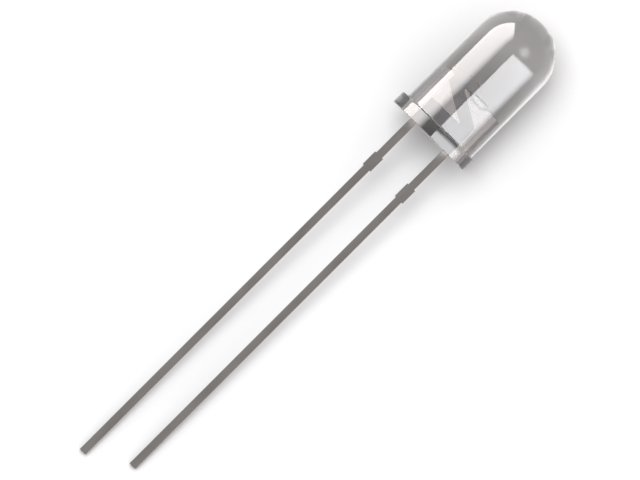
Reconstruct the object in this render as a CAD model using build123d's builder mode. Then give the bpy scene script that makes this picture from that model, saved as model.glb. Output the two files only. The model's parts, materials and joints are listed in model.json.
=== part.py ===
from build123d import *
from math import sqrt
import os

os.makedirs("parts", exist_ok=True)

# A clear 5 mm light-emitting diode with two leads, lying on a flat surface. It rests on
# the rim of its flange and on the tips of both leads, with its dome towards +X and its
# anode towards +Y. The origin is on the surface, under the middle of the diode's length.

# Epoxy body
barrel_diameter = 5.0
body_length = 9.0  # from the flat base to the top of the dome
flange_rim = 0.35  # how far the flange stands out from the barrel
flange_thickness = 0.8
flange_edge_radius = 0.1
flat_rim = 0.1  # what the cathode's flat leaves of that rim

# Leads, stamped from one strip of steel
lead_pitch = 2.54
lead_width = 0.45
lead_thickness = 0.45
lead_edge_radius = 0.05
anode_length = 26.2  # below the base
cathode_length = 24.8
stub_width = 0.62  # what shearing left of the bar that joined the leads
stub_length = 1.0
stub_drop = 3.2  # from the base to the stub's middle

# Die, the cement under it and the bond wire
die_width = 0.6
die_thickness = 0.27
cement_thickness = 0.03
cement_margin = 0.012  # between the cement and the edge of the cup's floor
wire_diameter = 0.045
wire_rise = 0.5  # from the higher of its ends to the top of its arch
ball_diameter = 0.11
ball_height = 0.05
stitch_length = 0.2
stitch_width = 0.08
stitch_thickness = 0.03

# Anvil and reflector cup, at the cathode's upper end
cup_offset = 0.4  # from the body's axis towards the cathode
cup_rim_height = 3.45  # above the base
cup_depth = 0.18
cup_bowl_height = 0.42
cup_clearance = 0.025  # round the die's corners, on the cup's floor
cup_flare = 0.095  # how much wider the cup is at its rim than at its floor, each side
cup_wall = 0.08
anvil_drop = 0.12  # from the cup's rim to the anvil's top edge
anvil_lip = 0.1  # how far the anvil reaches past the cup
anvil_land = 0.08  # upright end of the lip
anvil_root_height = 2.1

# Post and wedge, at the anode's upper end
post_rise = 0.05  # from the cup's rim to the post's top
wedge_height = 1.7
wedge_gap = 0.62  # from the wedge's point to the cathode's lead
wedge_land = 0.06  # blunt end of the point

# Worked out from the sizes above
barrel_radius = barrel_diameter / 2
flange_radius = barrel_radius + flange_rim
shoulder_height = body_length - barrel_radius
anode_x = lead_pitch / 2
cathode_x = -lead_pitch / 2
cup_floor_radius = die_width / sqrt(2) + cup_clearance
cup_mouth_radius = cup_floor_radius + cup_flare
cup_radius = cup_mouth_radius + cup_wall
cup_floor_height = cup_rim_height - cup_depth
die_base_height = cup_floor_height + cement_thickness
die_top_height = die_base_height + die_thickness
post_height = cup_rim_height + post_rise
anvil_top_height = cup_rim_height - anvil_drop
anvil_tip_x = -cup_offset + cup_radius + anvil_lip
length_gap = anode_length - cathode_length

# The floor's slopes, seen from the diode, when its rim and both lead tips touch it
roll_slope = 0.0
for _ in range(20):
    rim_drop = flange_radius * sqrt(1 + roll_slope**2)
    corner_reach = length_gap / 2 + abs(length_gap) * lead_width / lead_pitch / 2
    pitch_slope = (rim_drop - lead_thickness / 2) / (cathode_length + corner_reach)
    roll_slope = pitch_slope * length_gap / lead_pitch

# Directions in the diode's own axes: X to the anode, Z to the dome
upward = Vector(roll_slope, 1, pitch_slope).normalized()
ahead = (Vector(0, 0, 1) - upward * upward.Z).normalized()
sideways = upward.cross(ahead)

# The same three turned round: the diode's own axes, seen from the surface
towards_dome = Vector(ahead.Z, sideways.Z, upward.Z)
towards_anode = Vector(ahead.X, sideways.X, upward.X)
base_lift = rim_drop / sqrt(1 + roll_slope**2 + pitch_slope**2)
front_reach = shoulder_height * towards_dome.X + barrel_radius
back_reach = anode_length * towards_dome.X + lead_thickness / 2 * towards_dome.Z
base_centre = Vector((back_reach - front_reach) / 2, 0, base_lift)

# base holds the body's underside, and frame runs through both leads and the axis
base = Plane(origin=base_centre, x_dir=towards_anode, z_dir=towards_dome)
frame = Plane(origin=base_centre, x_dir=towards_anode, z_dir=-base.y_dir)
body_axis = Axis(base_centre, towards_dome)
cup_axis = Axis(frame.from_local_coords(Vector(-cup_offset, 0, 0)), towards_dome)


with BuildPart() as cathode_lead:
    with BuildSketch(frame):
        with BuildLine():
            outer_x = cathode_x - lead_width / 2
            inner_x = cathode_x + lead_width / 2
            Polyline(
                (outer_x, -cathode_length),
                (inner_x, -cathode_length),
                (inner_x, anvil_root_height),
                (anvil_tip_x, anvil_top_height - anvil_land),
                (anvil_tip_x, anvil_top_height),
                (outer_x, anvil_top_height),
                close=True,
            )
        make_face()
    extrude(amount=lead_thickness / 2, both=True)
    with BuildSketch(frame):
        with Locations((cathode_x, -stub_drop)):
            Rectangle(stub_width, stub_length)
    extrude(amount=lead_thickness / 2, both=True)
    # The bowl is pressed out of the anvil, so it bulges from both its faces
    with BuildSketch(frame):
        with BuildLine():
            rim_point = (cup_radius - cup_offset, cup_rim_height)
            bowl_low = (-cup_offset, cup_rim_height - cup_bowl_height)
            TangentArc(bowl_low, rim_point, tangent=(1, 0))
            Polyline(rim_point, (-cup_offset, cup_rim_height), bowl_low)
        make_face()
    revolve(axis=cup_axis)
    with BuildSketch(frame):
        with BuildLine():
            Polyline(
                (-cup_offset, cup_floor_height),
                (cup_floor_radius - cup_offset, cup_floor_height),
                (cup_mouth_radius - cup_offset, cup_rim_height),
                (-cup_offset, cup_rim_height),
                close=True,
            )
        make_face()
    revolve(axis=cup_axis, mode=Mode.SUBTRACT)
    long_edges = cathode_lead.edges().filter_by(lambda e: e.length > cathode_length / 2)
    fillet(long_edges, radius=lead_edge_radius)
cathode_lead.part.label = "cathode_lead"


with BuildPart() as anode_lead:
    with BuildSketch(frame):
        with BuildLine():
            inner_x = anode_x - lead_width / 2
            outer_x = anode_x + lead_width / 2
            wedge_x = cathode_x + lead_width / 2 + wedge_gap
            # the wedge's upper edge runs parallel to the anvil's lower one
            anvil_run = anvil_tip_x - (cathode_x + lead_width / 2)
            anvil_rise = anvil_top_height - anvil_land - anvil_root_height
            wedge_rise = (inner_x - wedge_x) * anvil_rise / anvil_run
            Polyline(
                (outer_x, -anode_length),
                (outer_x, post_height),
                (inner_x, post_height),
                (inner_x, wedge_height + wedge_land + wedge_rise),
                (wedge_x, wedge_height + wedge_land),
                (wedge_x, wedge_height),
                (inner_x, wedge_height),
                (inner_x, -anode_length),
                close=True,
            )
        make_face()
    extrude(amount=lead_thickness / 2, both=True)
    with BuildSketch(frame):
        with Locations((anode_x, -stub_drop)):
            Rectangle(stub_width, stub_length)
    extrude(amount=lead_thickness / 2, both=True)
    long_edges = anode_lead.edges().filter_by(lambda e: e.length > anode_length / 2)
    fillet(long_edges, radius=lead_edge_radius)
anode_lead.part.label = "anode_lead"


# Silver-filled cement that holds the die to the cup's floor and carries its current
with BuildPart() as die_cement:
    with BuildSketch(base.offset(cup_floor_height)):
        with Locations((-cup_offset, 0)):
            Circle(cup_floor_radius - cement_margin)
    extrude(amount=cement_thickness)
die_cement.part.label = "die_cement"


with BuildPart() as led_die:
    with BuildSketch(base.offset(die_base_height)):
        with Locations((-cup_offset, 0)):
            Rectangle(die_width, die_width)
    extrude(amount=die_thickness)
led_die.part.label = "led_die"


# A ball on the die, one arched span and a flattened stitch on the anode's post
with BuildPart() as bond_wire:
    with BuildSketch(base.offset(die_top_height)):
        with Locations((-cup_offset, 0)):
            Circle(ball_diameter / 2)
    extrude(amount=ball_height)
    with BuildSketch(base.offset(post_height)):
        with Locations((anode_x, 0)):
            SlotOverall(stitch_length, stitch_width)
    extrude(amount=stitch_thickness)
    with BuildLine(frame) as span:
        wire_start = (-cup_offset, die_top_height + ball_height / 2)
        wire_end = (anode_x, post_height + wire_diameter / 2)
        arch_height = max(die_top_height, post_height) + wire_rise
        wire_top = ((anode_x - cup_offset) / 2, arch_height)
        ThreePointArc(wire_start, wire_top, wire_end)
    with BuildSketch(Plane(origin=span.line @ 0, z_dir=span.line % 0)):
        Circle(wire_diameter / 2)
    sweep(path=span.line)
bond_wire.part.label = "bond_wire"


# Epoxy cast round all of these in one pour
with BuildPart() as lens_body:
    with BuildSketch(frame):
        with BuildLine():
            Polyline(
                (0, body_length),
                (0, 0),
                (flange_radius, 0),
                (flange_radius, flange_thickness - flange_edge_radius),
            )
            RadiusArc(
                (flange_radius, flange_thickness - flange_edge_radius),
                (flange_radius - flange_edge_radius, flange_thickness),
                -flange_edge_radius,
            )
            Polyline(
                (flange_radius - flange_edge_radius, flange_thickness),
                (barrel_radius, flange_thickness),
                (barrel_radius, shoulder_height),
            )
            CenterArc((0, shoulder_height), barrel_radius, 0, 90)
        make_face()
    revolve(axis=body_axis)
    with BuildSketch(base):
        with Locations((-barrel_radius - flat_rim, 0)):
            Rectangle(2 * flange_rim, 2 * flange_radius, align=(Align.MAX, Align.CENTER))
    extrude(amount=flange_thickness, mode=Mode.SUBTRACT)
    for piece in (cathode_lead, anode_lead, die_cement, led_die, bond_wire):
        add(piece.part, mode=Mode.SUBTRACT)
lens_body.part.label = "lens_body"


for piece in (lens_body, cathode_lead, anode_lead, led_die, die_cement, bond_wire):
    export_step(piece.part, f"parts/{piece.part.label}.step")
    print(piece.part.label, round(piece.part.volume, 4), "mm3")
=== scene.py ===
import json
import math

import bmesh
import bpy
from mathutils import Matrix, Vector


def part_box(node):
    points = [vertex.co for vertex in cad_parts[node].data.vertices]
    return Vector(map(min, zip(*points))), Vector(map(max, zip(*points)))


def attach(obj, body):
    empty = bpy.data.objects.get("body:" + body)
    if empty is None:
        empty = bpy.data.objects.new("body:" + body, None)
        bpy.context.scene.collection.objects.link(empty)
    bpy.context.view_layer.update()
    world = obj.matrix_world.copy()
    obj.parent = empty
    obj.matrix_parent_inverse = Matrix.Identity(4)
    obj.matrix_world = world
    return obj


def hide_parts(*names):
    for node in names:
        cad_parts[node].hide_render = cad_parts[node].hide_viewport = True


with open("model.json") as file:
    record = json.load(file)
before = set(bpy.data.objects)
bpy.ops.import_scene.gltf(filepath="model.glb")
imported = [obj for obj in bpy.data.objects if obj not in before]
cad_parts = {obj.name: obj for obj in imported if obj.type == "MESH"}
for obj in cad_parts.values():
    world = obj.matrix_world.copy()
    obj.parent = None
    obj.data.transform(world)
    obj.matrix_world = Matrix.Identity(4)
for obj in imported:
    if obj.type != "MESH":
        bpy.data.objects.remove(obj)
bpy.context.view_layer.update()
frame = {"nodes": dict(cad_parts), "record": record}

mm = 0.001

# The diode's own axes, taken from its mounts: z from the flat base to the dome,
# x from the cathode to the anode, y square to both, out of the leads' plane
mounts = {m["name"]: m for m in frame["record"]["mounts"]}
baseCentre = Vector(mounts["board_seat"]["pos_m"])
domeWay = Vector(mounts["barrel"]["axis"]).normalized()
rimPoint = Vector(mounts["panel_seat"]["pos_m"]) - baseCentre
flangeThickness = rimPoint.dot(domeWay)
anodeWay = (rimPoint - domeWay * flangeThickness).normalized()
faceWay = domeWay.cross(anodeWay)
diode = Matrix((anodeWay, faceWay, domeWay)).transposed().to_4x4()
diode.translation = baseCentre

barrelRadius = mounts["barrel"]["dims"]["r_mm"] * mm
barrelLength = mounts["barrel"]["dims"]["length_mm"] * mm
shoulderHeight = flangeThickness + barrelLength
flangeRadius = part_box("lens_body")[1].y   # as far as the flange reaches sideways

samePlace = 0.0001 * mm                    # points closer than this are one point
noiseSpread = (0.3, 0.7)                   # nearly all of a noise texture lies between these


def newMaterial(name, metallic=0.0):
    material = bpy.data.materials.new(name)
    material.use_nodes = True
    tree = material.node_tree
    tree.nodes.clear()
    output = tree.nodes.new("ShaderNodeOutputMaterial")
    shader = tree.nodes.new("ShaderNodeBsdfPrincipled")
    shader.inputs["Metallic"].default_value = metallic
    tree.links.new(shader.outputs["BSDF"], output.inputs["Surface"])
    return material, tree, shader


def diodePlace(tree, stretch=(1, 1, 1)):
    # a place on the diode in its own axes, in millimetres, drawn out by stretch
    coordinates = tree.nodes.new("ShaderNodeTexCoord")
    mapping = tree.nodes.new("ShaderNodeMapping")
    mapping.vector_type = "TEXTURE"
    mapping.inputs["Location"].default_value = baseCentre
    mapping.inputs["Rotation"].default_value = diode.to_euler()
    mapping.inputs["Scale"].default_value = [mm * s for s in stretch]
    tree.links.new(coordinates.outputs["Object"], mapping.inputs["Vector"])
    return mapping.outputs["Vector"]


def noise(tree, place, scale, detail):
    texture = tree.nodes.new("ShaderNodeTexNoise")
    texture.inputs["Scale"].default_value = scale
    texture.inputs["Detail"].default_value = detail
    tree.links.new(place, texture.inputs["Vector"])
    return texture.outputs["Fac"]


def between(tree, value, low, high, spread=noiseSpread):
    # the value's own spread, turned into low to high
    ranged = tree.nodes.new("ShaderNodeMapRange")
    ranged.inputs["From Min"].default_value = spread[0]
    ranged.inputs["From Max"].default_value = spread[1]
    ranged.inputs["To Min"].default_value = low
    ranged.inputs["To Max"].default_value = high
    tree.links.new(value, ranged.inputs["Value"])
    return ranged.outputs["Result"]


def blend(tree, factor, first, second, kind="RGBA"):
    # from first to second as factor goes from 0 to 1: colours, or numbers of the kind VALUE
    mix = tree.nodes.new("ShaderNodeMix")
    mix.data_type = "RGBA" if kind == "RGBA" else "FLOAT"
    tree.links.new(factor, mix.inputs["Factor"])
    for name, given in (("A", first), ("B", second)):
        socket = [s for s in mix.inputs if s.name == name and s.type == kind][0]
        if isinstance(given, bpy.types.NodeSocket):
            tree.links.new(given, socket)
        else:
            socket.default_value = (*given, 1)
    return [s for s in mix.outputs if s.type == kind][0]


def colourBy(tree, shader, pattern, colours):
    factor = between(tree, pattern, 0, 1)
    tree.links.new(blend(tree, factor, *colours), shader.inputs["Base Color"])


def roughenBy(tree, shader, pattern, roughness):
    tree.links.new(between(tree, pattern, *roughness), shader.inputs["Roughness"])


def addBump(tree, shader, pattern, depth):
    bump = tree.nodes.new("ShaderNodeBump")
    bump.inputs["Distance"].default_value = depth
    tree.links.new(pattern, bump.inputs["Height"])
    tree.links.new(bump.outputs["Normal"], shader.inputs["Normal"])


# In the surfaces below a pattern is a pair: its scale, as features to a millimetre,
# and its detail, as how often these break up into finer ones
epoxySurface = {
    "tint": (1, 0.965, 0.97, 1),
    "index": 1.54,
    "clearness": 1.0,
    "rubbed": (0.9, 3.0),
    "roughness": (0.0, 0.012),     # where it is polished, and where it is faintly rubbed
    "waves": (1.3, 1.0),           # the mould's faint unevenness
    "waveDepth": 0.0008 * mm,
}


def clearEpoxy():
    material, tree, shader = newMaterial("clearEpoxy")
    shader.inputs["Base Color"].default_value = epoxySurface["tint"]
    shader.inputs["Transmission Weight"].default_value = epoxySurface["clearness"]
    shader.inputs["IOR"].default_value = epoxySurface["index"]
    place = diodePlace(tree)
    roughenBy(tree, shader, noise(tree, place, *epoxySurface["rubbed"]), epoxySurface["roughness"])
    addBump(tree, shader, noise(tree, place, *epoxySurface["waves"]), epoxySurface["waveDepth"])
    return material


leadSurface = {
    "metallic": 1.0,
    "outside": ((0.24, 0.225, 0.215), (0.29, 0.275, 0.265)),   # dull tin, in darker and lighter patches
    "inside": ((0.36, 0.35, 0.34), (0.44, 0.43, 0.42)),        # bright plating under the epoxy
    "patches": (1.6, 3.0),
    "patchStretch": (1, 1, 3),
    "border": (-0.02, 0.02),                                   # millimetres above the base
    "dull": (0.34, 0.48),                                      # roughness outside
    "bright": (0.16, 0.26),                                    # roughness inside
    "streaks": (18.0, 3.0),
    "streakStretch": (1, 1, 30),                               # they run along the leads
    "streakDepth": 0.004 * mm,
}


def tinnedSteel():
    material, tree, shader = newMaterial("tinnedSteel", leadSurface["metallic"])
    streaks = noise(tree, diodePlace(tree, leadSurface["streakStretch"]), *leadSurface["streaks"])
    patches = noise(tree, diodePlace(tree, leadSurface["patchStretch"]), *leadSurface["patches"])
    patch = between(tree, patches, 0, 1)
    split = tree.nodes.new("ShaderNodeSeparateXYZ")
    tree.links.new(diodePlace(tree), split.inputs["Vector"])
    within = between(tree, split.outputs["Z"], 0, 1, leadSurface["border"])
    outside = blend(tree, patch, *leadSurface["outside"])
    inside = blend(tree, patch, *leadSurface["inside"])
    tree.links.new(blend(tree, within, outside, inside), shader.inputs["Base Color"])
    dull = between(tree, streaks, *leadSurface["dull"])
    bright = between(tree, streaks, *leadSurface["bright"])
    tree.links.new(blend(tree, within, dull, bright, "VALUE"), shader.inputs["Roughness"])
    addBump(tree, shader, streaks, leadSurface["streakDepth"])
    return material


dieSurface = {
    "metallic": 0.2,
    "crystal": ((0.030, 0.027, 0.036), (0.055, 0.048, 0.060)),   # darker and lighter grain
    "grain": (14.0, 4.0),
    "saw": (40.0, 2.0),            # saw marks
    "sawStretch": (20, 20, 1),     # they run round its sides
    "sawDepth": 0.002 * mm,
    "roughness": (0.18, 0.40),
}


def dieStuff():
    material, tree, shader = newMaterial("dieStuff", dieSurface["metallic"])
    colourBy(tree, shader, noise(tree, diodePlace(tree), *dieSurface["grain"]), dieSurface["crystal"])
    saw = noise(tree, diodePlace(tree, dieSurface["sawStretch"]), *dieSurface["saw"])
    roughenBy(tree, shader, saw, dieSurface["roughness"])
    addBump(tree, shader, saw, dieSurface["sawDepth"])
    return material


cementSurface = {
    "metallic": 0.7,
    "colours": ((0.34, 0.34, 0.33), (0.66, 0.66, 0.65)),   # resin between the flakes, and the flakes
    "flakes": (30.0, 3.0),
    "depth": 0.004 * mm,
    "roughness": (0.35, 0.65),
}

wireSurface = {
    "metallic": 1.0,
    "colours": ((0.26, 0.20, 0.13), (0.36, 0.28, 0.17)),
    "patches": (12.0, 2.0),
    "depth": 0.001 * mm,
    "roughness": (0.20, 0.34),
}


def patchyMetal(name, surface, patternName):
    # one pattern gives the colour, the roughness and the relief
    material, tree, shader = newMaterial(name, surface["metallic"])
    pattern = noise(tree, diodePlace(tree), *surface[patternName])
    colourBy(tree, shader, pattern, surface["colours"])
    roughenBy(tree, shader, pattern, surface["roughness"])
    addBump(tree, shader, pattern, surface["depth"])
    return material


def silverCement():
    return patchyMetal("silverCement", cementSurface, "flakes")


def goldWire():
    return patchyMetal("goldWire", wireSurface, "patches")


lensShape = {                  # one closed skin round the leads and the cup
    "flatRim": 0.1 * mm,       # what the cathode's flat leaves of the flange
    "lowerEdge": 0.05 * mm,    # rounding of the base's rim
    "upperEdge": 0.1 * mm,     # rounding of the flange's upper rim
    "root": 0.06 * mm,         # fillet between flange and barrel
    "held": 0.02 * mm,         # strip at either end of the barrel that keeps its shading straight
    "edgeSteps": 5,
    "domeSteps": 40,
    "turnSteps": 144,
    "sharpAngle": 30,          # degrees: steeper edges aren't shaded smooth
}


def roundRing(bm, radius, height, rounding):
    # rounds the ring of edges that runs round the diode at this radius and height
    def onRing(vert):
        away = math.hypot(math.hypot(vert.co.x, vert.co.y) - radius, vert.co.z - height)
        return away < samePlace
    ring = [e for e in bm.edges if all(onRing(v) for v in e.verts)]
    bmesh.ops.bevel(bm, geom=ring, offset=rounding, offset_type="OFFSET", affect="EDGES",
                    segments=lensShape["edgeSteps"], profile=0.5, material=-1)


def cutAt(bm, point, normal, clear=False):
    everything = bm.verts[:] + bm.edges[:] + bm.faces[:]
    return bmesh.ops.bisect_plane(bm, geom=everything, dist=samePlace,
                                  plane_co=point, plane_no=normal, clear_outer=clear)


def buildLens():
    bm = bmesh.new()
    corners = [(0, 0), (flangeRadius, 0), (flangeRadius, flangeThickness),
               (barrelRadius, flangeThickness), (barrelRadius, shoulderHeight)]
    points = [bm.verts.new((x, 0, z)) for x, z in corners]
    for pair in zip(points, points[1:]):
        bm.edges.new(pair)
    bmesh.ops.spin(bm, geom=[points[-1]], cent=(0, 0, shoulderHeight), axis=(0, -1, 0),
                   angle=math.pi / 2, steps=lensShape["domeSteps"])
    bmesh.ops.spin(bm, geom=bm.verts[:] + bm.edges[:], cent=(0, 0, 0), axis=(0, 0, 1),
                   angle=2 * math.pi, steps=lensShape["turnSteps"], use_merge=True)
    bmesh.ops.remove_doubles(bm, verts=bm.verts, dist=samePlace)
    bmesh.ops.recalc_face_normals(bm, faces=bm.faces)
    roundRing(bm, flangeRadius, 0, lensShape["lowerEdge"])
    roundRing(bm, flangeRadius, flangeThickness, lensShape["upperEdge"])
    roundRing(bm, barrelRadius, flangeThickness, lensShape["root"])
    held = lensShape["held"]
    for height in (flangeThickness + lensShape["root"] + held, shoulderHeight - held):
        cutAt(bm, (0, 0, height), (0, 0, 1))
    cut = cutAt(bm, (-barrelRadius - lensShape["flatRim"], 0, 0), (-1, 0, 0), clear=True)
    openEdges = [e for e in cut["geom_cut"] if isinstance(e, bmesh.types.BMEdge)]
    bmesh.ops.holes_fill(bm, edges=openEdges, sides=0)
    bmesh.ops.recalc_face_normals(bm, faces=bm.faces)
    bmesh.ops.transform(bm, matrix=diode, verts=bm.verts)
    mesh = bpy.data.meshes.new("clear_lens")
    bm.to_mesh(mesh)
    bm.free()
    for face in mesh.polygons:
        face.use_smooth = True
    mesh.set_sharp_from_angle(angle=math.radians(lensShape["sharpAngle"]))
    lens = bpy.data.objects.new("clear_lens", mesh)
    bpy.context.scene.collection.objects.link(lens)
    mesh.materials.append(clearEpoxy())
    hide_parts("lens_body")
    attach(lens, "root")
    return lens


def dress(node, material):
    ob = frame["nodes"][node]
    ob.data.materials.clear()
    ob.data.materials.append(material)


studio = {
    "floorSize": 2.0,              # metres
    "floorColour": (0.9, 0.9, 0.9, 1),
    "floorRoughness": 0.9,
    "floorShine": 0.0,
    "worldColour": (0.80, 0.785, 0.785, 1),
}


def buildFloor():
    bm = bmesh.new()
    bmesh.ops.create_grid(bm, x_segments=1, y_segments=1, size=studio["floorSize"] / 2)
    mesh = bpy.data.meshes.new("floor")
    bm.to_mesh(mesh)
    bm.free()
    floor = bpy.data.objects.new("floor", mesh)
    bpy.context.scene.collection.objects.link(floor)
    material, tree, shader = newMaterial("floorPaper")
    shader.inputs["Base Color"].default_value = studio["floorColour"]
    shader.inputs["Roughness"].default_value = studio["floorRoughness"]
    shader.inputs["Specular IOR Level"].default_value = studio["floorShine"]
    mesh.materials.append(material)


# Every softbox is placed in metres along the diode's own axes, from its base:
# towards the anode, out of the leads' plane, and towards the dome
softboxes = {
    "overhead": {              # throws the soft shadows
        "centre": (0.11, 0.48, 0.06),
        "facing": (-0.11, -0.48, -0.06),
        "size": (0.26, 0.26),
        "brightness": 6.0,
        "colour": (1, 1, 1),
        "shadows": True,
    },
    "anodeSide": {             # its reflection runs along the barrel's anode side
        "centre": (0.30, 0.30, 0.06),
        "facing": (-1, 0, 0),
        "size": (0.70, 0.64),
        "fades": (0.05, 0.05, 0.02, 0.62),
        "brightness": 12.5,
        "colour": (1, 0.965, 0.95),
    },
    "cathodeSide": {           # from overhead down to the floor, on the cathode's side
        "centre": (-0.20, 0.20, -0.19),
        "facing": (1, -1, 0),
        "size": (0.48, 0.566),
        "fades": (0.05, 0.09, 0.36, 0.05),
        "brightness": 11.3,
        "colour": (0.97, 0.98, 1),
    },
    "domeSpot": {              # the small light spot on the dome
        "centre": (-0.128, 0.328, 0.19),
        "facing": (0.128, -0.328, -0.19),
        "size": (0.30, 0.30),
        "fades": (0.5, 0.5, 0.5, 0.5),
        "brightness": 5.0,
        "colour": (1, 0.98, 0.98),
    },
}


def fadeEdges(light, shares):
    # the softbox fades towards its left, right, lower and upper edge, over these shares of it
    light.use_nodes = True
    tree = light.node_tree
    emission = tree.nodes["Emission"]
    geometry = tree.nodes.new("ShaderNodeNewGeometry")
    split = tree.nodes.new("ShaderNodeSeparateXYZ")
    tree.links.new(geometry.outputs["Parametric"], split.inputs["Vector"])
    left, right, lower, upper = shares
    strength = None
    rims = [("X", 0, left), ("X", 1, 1 - right), ("Y", 0, lower), ("Y", 1, 1 - upper)]
    for axis, start, end in rims:
        edge = tree.nodes.new("ShaderNodeMapRange")
        edge.interpolation_type = "SMOOTHSTEP"
        edge.inputs["From Min"].default_value = start
        edge.inputs["From Max"].default_value = end
        tree.links.new(split.outputs[axis], edge.inputs["Value"])
        if strength is None:
            strength = edge.outputs["Result"]
            continue
        both = tree.nodes.new("ShaderNodeMath")
        both.operation = "MULTIPLY"
        tree.links.new(strength, both.inputs[0])
        tree.links.new(edge.outputs["Result"], both.inputs[1])
        strength = both.outputs["Value"]
    tree.links.new(strength, emission.inputs["Strength"])


def addSoftbox(name, values, lensGroup):
    # one that throws shadows isn't itself mirrored, the others are mirrored by the lens alone
    width, height = values["size"]
    light = bpy.data.lights.new(name, "AREA")
    light.shape = "RECTANGLE"
    light.size = width
    light.size_y = height
    light.color = values["colour"]
    light.energy = values["brightness"] * math.pi * width * height   # as bright at any size
    if "fades" in values:
        fadeEdges(light, values["fades"])
    facing = diode.to_3x3() @ Vector(values["facing"]).normalized()
    upward = (faceWay - facing * faceWay.dot(facing)).normalized()
    placed = Matrix((upward.cross(-facing), upward, -facing)).transposed().to_4x4()
    placed.translation = diode @ Vector(values["centre"])
    ob = bpy.data.objects.new(name, light)
    bpy.context.scene.collection.objects.link(ob)
    ob.matrix_world = placed
    ob.visible_camera = False
    ob.visible_transmission = False
    if values.get("shadows"):
        ob.visible_glossy = False
    else:
        ob.visible_diffuse = False
        ob.light_linking.receiver_collection = lensGroup


def lightStudio(lens):
    world = bpy.data.worlds.new("studioWorld")
    bpy.context.scene.world = world
    world.use_nodes = True
    background = world.node_tree.nodes["Background"]
    background.inputs["Color"].default_value = studio["worldColour"]
    lensGroup = bpy.data.collections.new("lensGroup")
    lensGroup.objects.link(lens)
    for name, values in softboxes.items():
        addSoftbox(name, values, lensGroup)


framing = {
    "lens": 600.0,                     # millimetres, so that the view is nearly without perspective
    "sensor": 36.0,                    # millimetres
    "width": 35.87 * mm,               # what the frame's width takes in
    "aim": (0.254 * mm, -8.403 * mm),  # its middle, towards the anode and the dome
    "near": 0.01,                      # metres
    "far": 10,
}


def placeCamera():
    # square to the leads' plane, with the dome towards the upper right
    right = (domeWay - anodeWay).normalized()
    up = (domeWay + anodeWay).normalized()
    camera = bpy.data.cameras.new("camera")
    camera.lens = framing["lens"]
    camera.sensor_width = framing["sensor"]
    camera.clip_start = framing["near"]
    camera.clip_end = framing["far"]
    distance = framing["width"] * framing["lens"] / framing["sensor"]
    aimAcross, aimAlong = framing["aim"]
    target = baseCentre + anodeWay * aimAcross + domeWay * aimAlong
    ob = bpy.data.objects.new("camera", camera)
    bpy.context.scene.collection.objects.link(ob)
    placed = Matrix((right, up, faceWay)).transposed().to_4x4()
    placed.translation = target + faceWay * distance
    ob.matrix_world = placed
    bpy.context.scene.camera = ob


bounces = {
    "all": 24,
    "throughGlass": 16,
    "mirrored": 12,
}

placeCamera()
print("camera placed")
lens = buildLens()
print("lens built:", len(lens.data.polygons), "faces")
steel = tinnedSteel()
dress("cathode_lead", steel)
dress("anode_lead", steel)
dress("led_die", dieStuff())
dress("die_cement", silverCement())
dress("bond_wire", goldWire())
print("leads, die, cement and wire dressed")
buildFloor()
lightStudio(lens)
print("floor and lights placed")

scene = bpy.context.scene
scene.view_settings.view_transform = "Standard"
scene.cycles.use_denoising = True
scene.cycles.max_bounces = bounces["all"]
scene.cycles.transmission_bounces = bounces["throughGlass"]
scene.cycles.glossy_bounces = bounces["mirrored"]
scene.cycles.caustics_refractive = False   # keeps the floor under the lens in shade
scene.cycles.caustics_reflective = False
